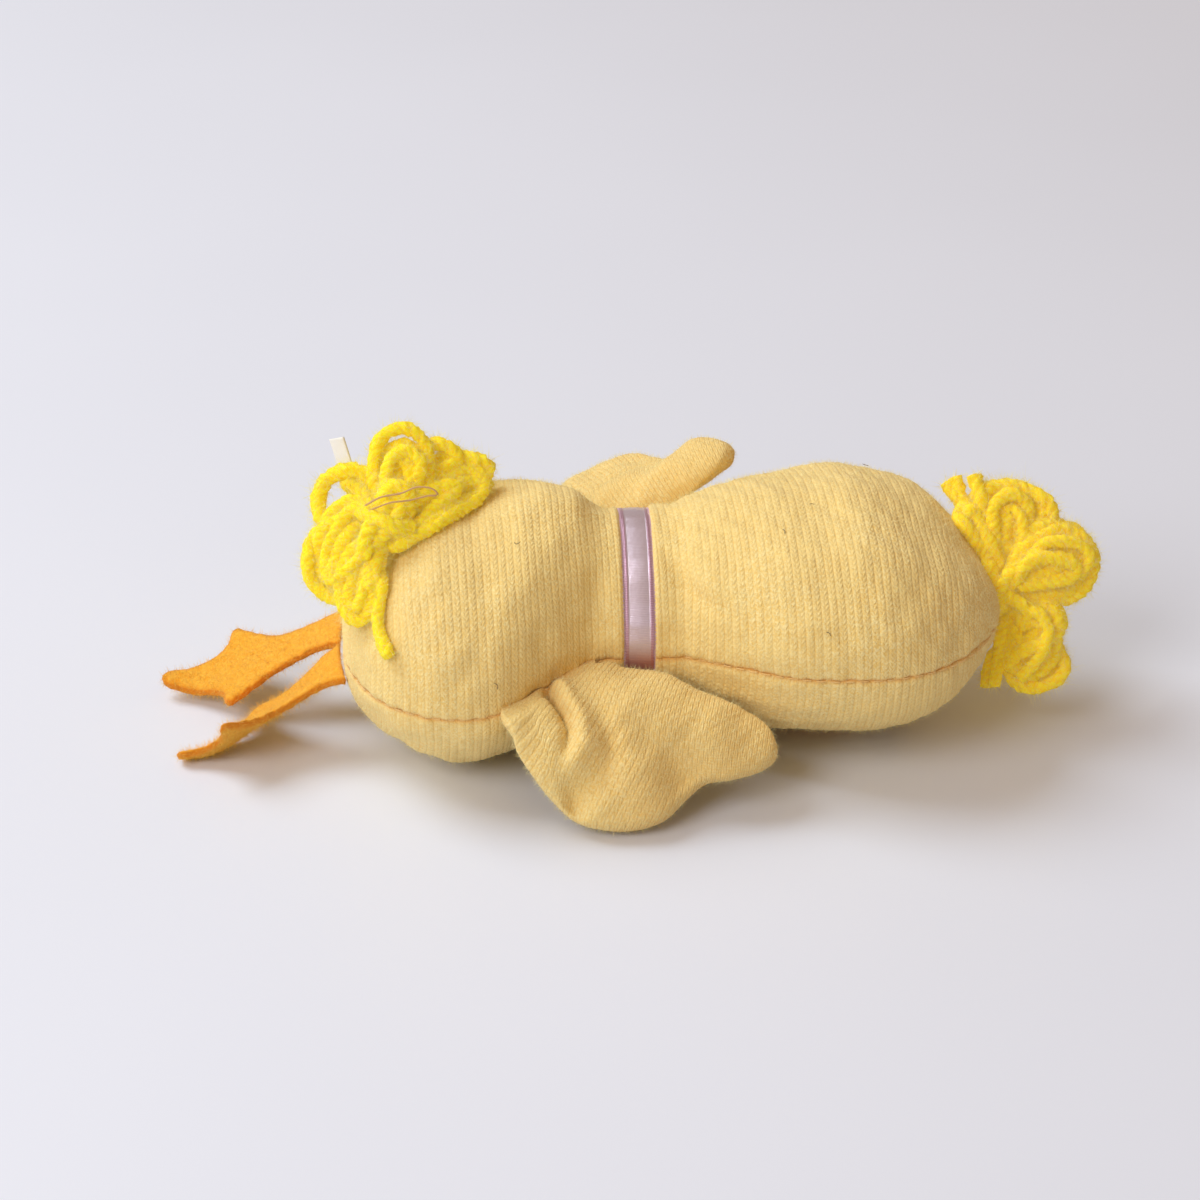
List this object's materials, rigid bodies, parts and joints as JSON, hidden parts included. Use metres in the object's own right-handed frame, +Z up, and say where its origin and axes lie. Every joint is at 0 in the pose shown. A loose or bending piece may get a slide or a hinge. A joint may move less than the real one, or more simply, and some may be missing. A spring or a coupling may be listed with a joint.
{
  "type": "plush chick",
  "caption": "Small stuffed knitted chick lying face down, with padded wings, webbed felt feet, yarn tufts on crown and tail, and a ribbon round the neck.",
  "frame": {"origin": "middle of the flat that the belly rests on, under the widest place of the body", "axes": "+X from tail to crown, +Y to the chick's left, +Z up from the floor to its back"},
  "size_m": [0.1008, 0.0533, 0.0345],
  "materials": {
    "knit": "matte",
    "stuffing": "matte",
    "satin": "satin",
    "felt": "matte",
    "tail_yarn": "matte",
    "hair_yarn": "matte",
    "bead": "gloss",
    "tape": "satin"
  },
  "bodies": {
    "torso": {"body_back_panel": "knit", "body_front_panel": "knit", "body_filling": "stuffing", "tail_tuft": "tail_yarn", "tail_tape": "tape"},
    "neck": {"neck_gather": "knit", "neck_filling": "stuffing", "neck_ribbon": "satin", "ribbon_knot": "satin"},
    "head": {"head_back_panel": "knit", "head_front_panel": "knit", "head_filling": "stuffing", "left_eye": "bead", "right_eye": "bead", "hair_tuft": "hair_yarn"},
    "upper_bill": {"upper_bill": "felt"},
    "lower_bill": {"lower_bill": "felt"},
    "right_wing": {"right_wing_upper_layer": "knit", "right_wing_lower_layer": "knit", "right_wing_padding": "stuffing"},
    "left_wing": {"left_wing_upper_layer": "knit", "left_wing_lower_layer": "knit", "left_wing_padding": "stuffing"},
    "right_foot": {"right_foot": "felt"},
    "left_foot": {"left_foot": "felt"}
  },
  "joints": [
    {"name": "neck_nod", "type": "hinge", "parent": "torso", "child": "neck", "pos_m": [0.018, 0, 0.013], "axis": [0, 1, 0], "range_deg": [-12, 12], "stiffness_Nm_per_rad": 0.03, "deforming": ["neck_gather", "neck_filling"]},
    {"name": "head_turn", "type": "hinge", "parent": "neck", "child": "head", "pos_m": [0.018, 0, 0.013], "axis": [1, 0, 0], "range_deg": [-15, 15], "stiffness_Nm_per_rad": 0.01, "deforming": ["neck_gather", "neck_filling"]},
    {"name": "upper_bill_open", "type": "hinge", "parent": "head", "child": "upper_bill", "pos_m": [0.03765, 0, 0], "axis": [0, 1, 0], "range_deg": [0, 70], "stiffness_Nm_per_rad": 0.0002},
    {"name": "lower_bill_open", "type": "hinge", "parent": "head", "child": "lower_bill", "pos_m": [0.03735, 0, 0], "axis": [0, -1, 0], "range_deg": [0, 70], "stiffness_Nm_per_rad": 0.0002},
    {"name": "right_wing_lift", "type": "hinge", "parent": "torso", "child": "right_wing", "pos_m": [0.0084, -0.01557, 0.01173], "axis": [-0.7852, -0.613, -0.0879], "range_deg": [0, 55], "stiffness_Nm_per_rad": 0.0005},
    {"name": "left_wing_lift", "type": "hinge", "parent": "torso", "child": "left_wing", "pos_m": [0.0084, 0.01557, 0.01173], "axis": [0.7852, -0.613, 0.0879], "range_deg": [-40, 3], "stiffness_Nm_per_rad": 0.0005},
    {"name": "right_foot_swing", "type": "hinge", "parent": "torso", "child": "right_foot", "pos_m": [-0.0141, -0.0039, 0.0092], "axis": [0, 1, 0], "range_deg": [-40, 60], "stiffness_Nm_per_rad": 0.0005},
    {"name": "left_foot_swing", "type": "hinge", "parent": "torso", "child": "left_foot", "pos_m": [-0.0141, 0.0039, 0.0092], "axis": [0, 1, 0], "range_deg": [-40, 60], "stiffness_Nm_per_rad": 0.0005}
  ]
}
